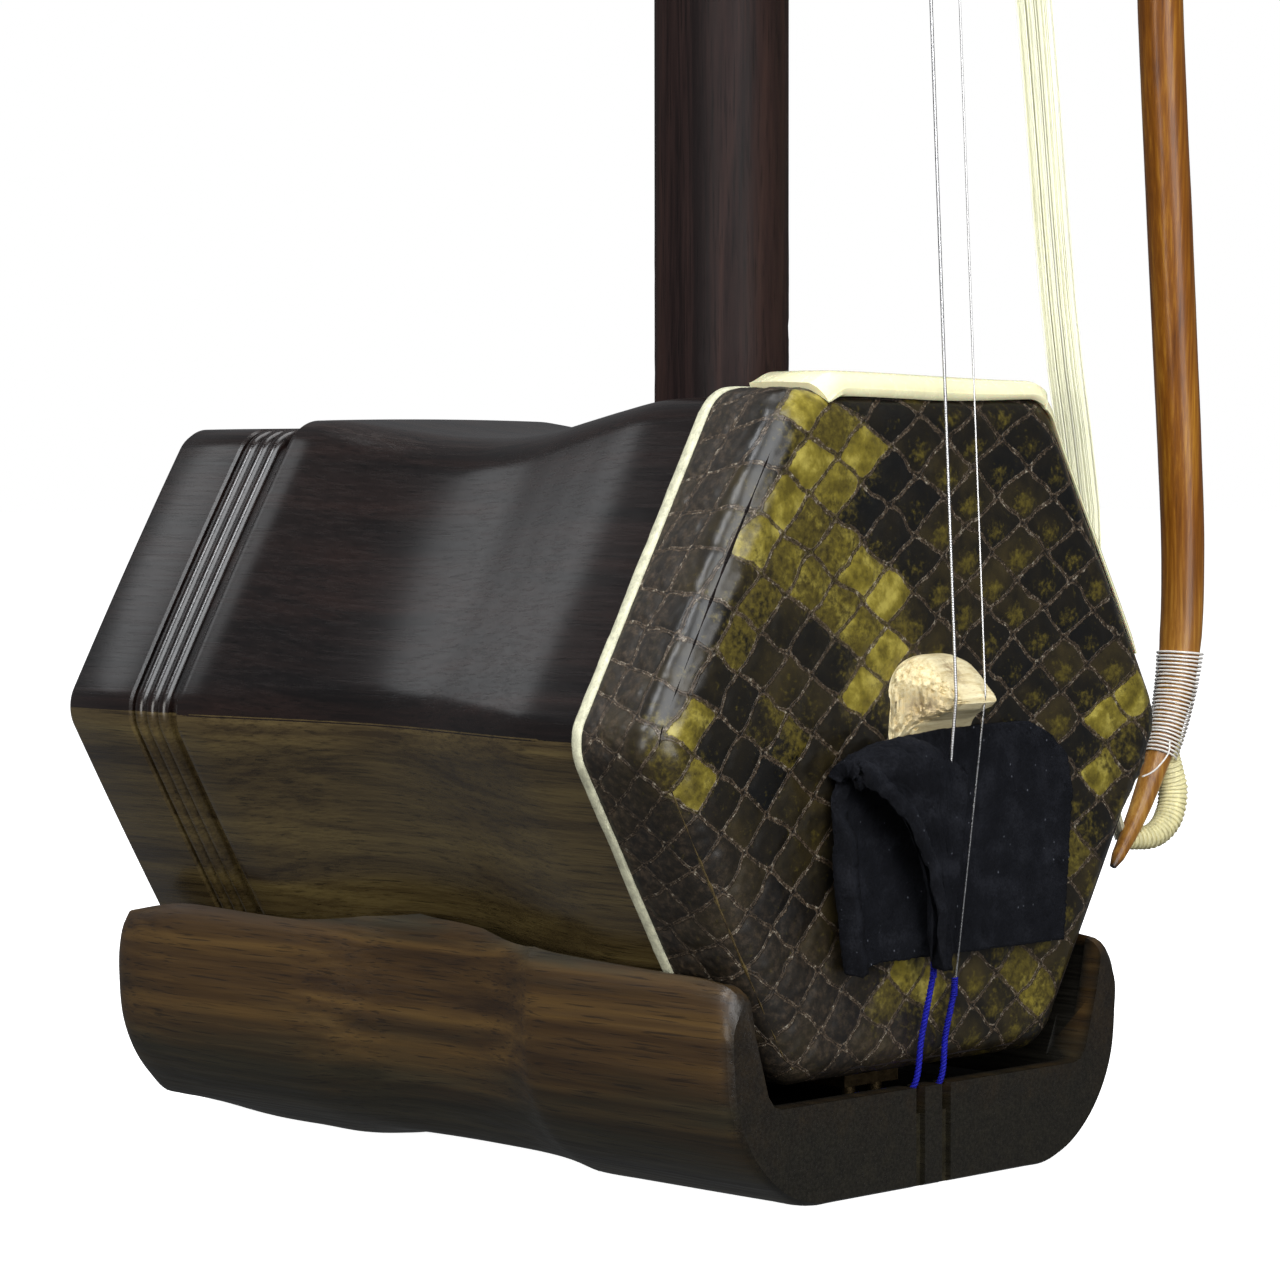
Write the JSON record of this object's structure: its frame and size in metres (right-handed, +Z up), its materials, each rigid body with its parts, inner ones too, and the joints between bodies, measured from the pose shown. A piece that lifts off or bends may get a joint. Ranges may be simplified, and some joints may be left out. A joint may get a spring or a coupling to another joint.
{
  "type": "erhu with bow",
  "caption": "Two-string spike fiddle with a hexagonal skin-faced resonator, long neck, tuning pegs, cradle base and a bow hung between the strings.",
  "frame": {"origin": "on the base's flat resting face, on the centre plane, at the middle of its front foot", "axes": "+Z up the neck, -Y out of the skin's face, +X to the right of someone looking at the skin"},
  "size_m": [0.1301, 0.1576, 0.8332],
  "materials": {
    "rosewood": "satin dark rosewood with fine streaks",
    "python_skin": "lacquered scaled skin, black-brown and olive",
    "trim_strip": "pale fibre strip",
    "ivory_plastic": "polished ivory-coloured plastic",
    "brass": "satin brass",
    "maple": "bare pale maple",
    "felt": "thick black felt",
    "string_steel": "steel wire",
    "blue_silk": "royal blue silk winding",
    "qianjin_silk": "wound black silk cord",
    "bamboo": "oiled orange-brown bamboo",
    "nylon": "clear nylon thread",
    "horsehair": "pale horsehair",
    "ebony": "polished black wood"
  },
  "bodies": {
    "instrument": {"stave_top": "rosewood", "stave_upper_right": "rosewood", "stave_lower_right": "rosewood", "stave_bottom": "rosewood", "stave_lower_left": "rosewood", "stave_upper_left": "rosewood", "python_skin": "python_skin", "skin_border_strip": "trim_strip", "bow_guard": "ivory_plastic", "rear_lattice": "rosewood", "neck": "rosewood", "head_inlay": "ivory_plastic", "string_hook": "brass", "base": "rosewood", "base_washer": "brass", "base_screw": "brass", "bridge": "maple", "damper_felt": "felt", "inner_string": "string_steel", "outer_string": "string_steel", "inner_string_tail": "blue_silk", "outer_string_tail": "blue_silk", "qianjin": "qianjin_silk"},
    "outer_tuner": {"outer_peg": "rosewood", "outer_peg_collar": "ivory_plastic", "outer_peg_cap": "ivory_plastic", "outer_winding": "string_steel"},
    "inner_tuner": {"inner_peg": "rosewood", "inner_peg_collar": "ivory_plastic", "inner_peg_cap": "ivory_plastic", "inner_winding": "string_steel"},
    "bow": {"bow_stick": "bamboo", "tip_binding": "nylon", "hair_knot": "horsehair", "bow_hair": "horsehair", "stick_ferrule": "brass"},
    "frog_block": {"bow_frog": "ebony", "frog_nut": "brass", "frog_ferrule": "brass"},
    "tension_screw": {"bow_screw": "string_steel", "screw_button": "ebony"}
  },
  "joints": [
    {"name": "outer_peg_turn", "type": "hinge", "parent": "instrument", "child": "outer_tuner", "pos_m": [0, 0.0168, 0.6415], "axis": [0, 1, 0], "continuous": true},
    {"name": "inner_peg_turn", "type": "hinge", "parent": "instrument", "child": "inner_tuner", "pos_m": [0, 0.0168, 0.7165], "axis": [0, 1, 0], "continuous": true},
    {"name": "bow_lift", "type": "slide", "parent": "instrument", "child": "bow", "axis": [0, 0.0509, 0.9987], "range_m": [0, 0.01]},
    {"name": "bow_screw_turn", "type": "hinge", "parent": "bow", "child": "tension_screw", "pos_m": [0.0206, -0.0168, 0.7515], "axis": [-0.0783, -0.012, 0.9969], "range_deg": [0, 2701]},
    {"name": "frog_slide", "type": "slide", "parent": "bow", "child": "frog_block", "axis": [-0.0783, -0.012, 0.9969], "range_m": [0, 0.006], "deforming": ["bow_hair"]}
  ],
  "couplings": [
    {"joint": "bow_screw_turn", "follows": "frog_slide", "rad_per_m": 7854}
  ]
}
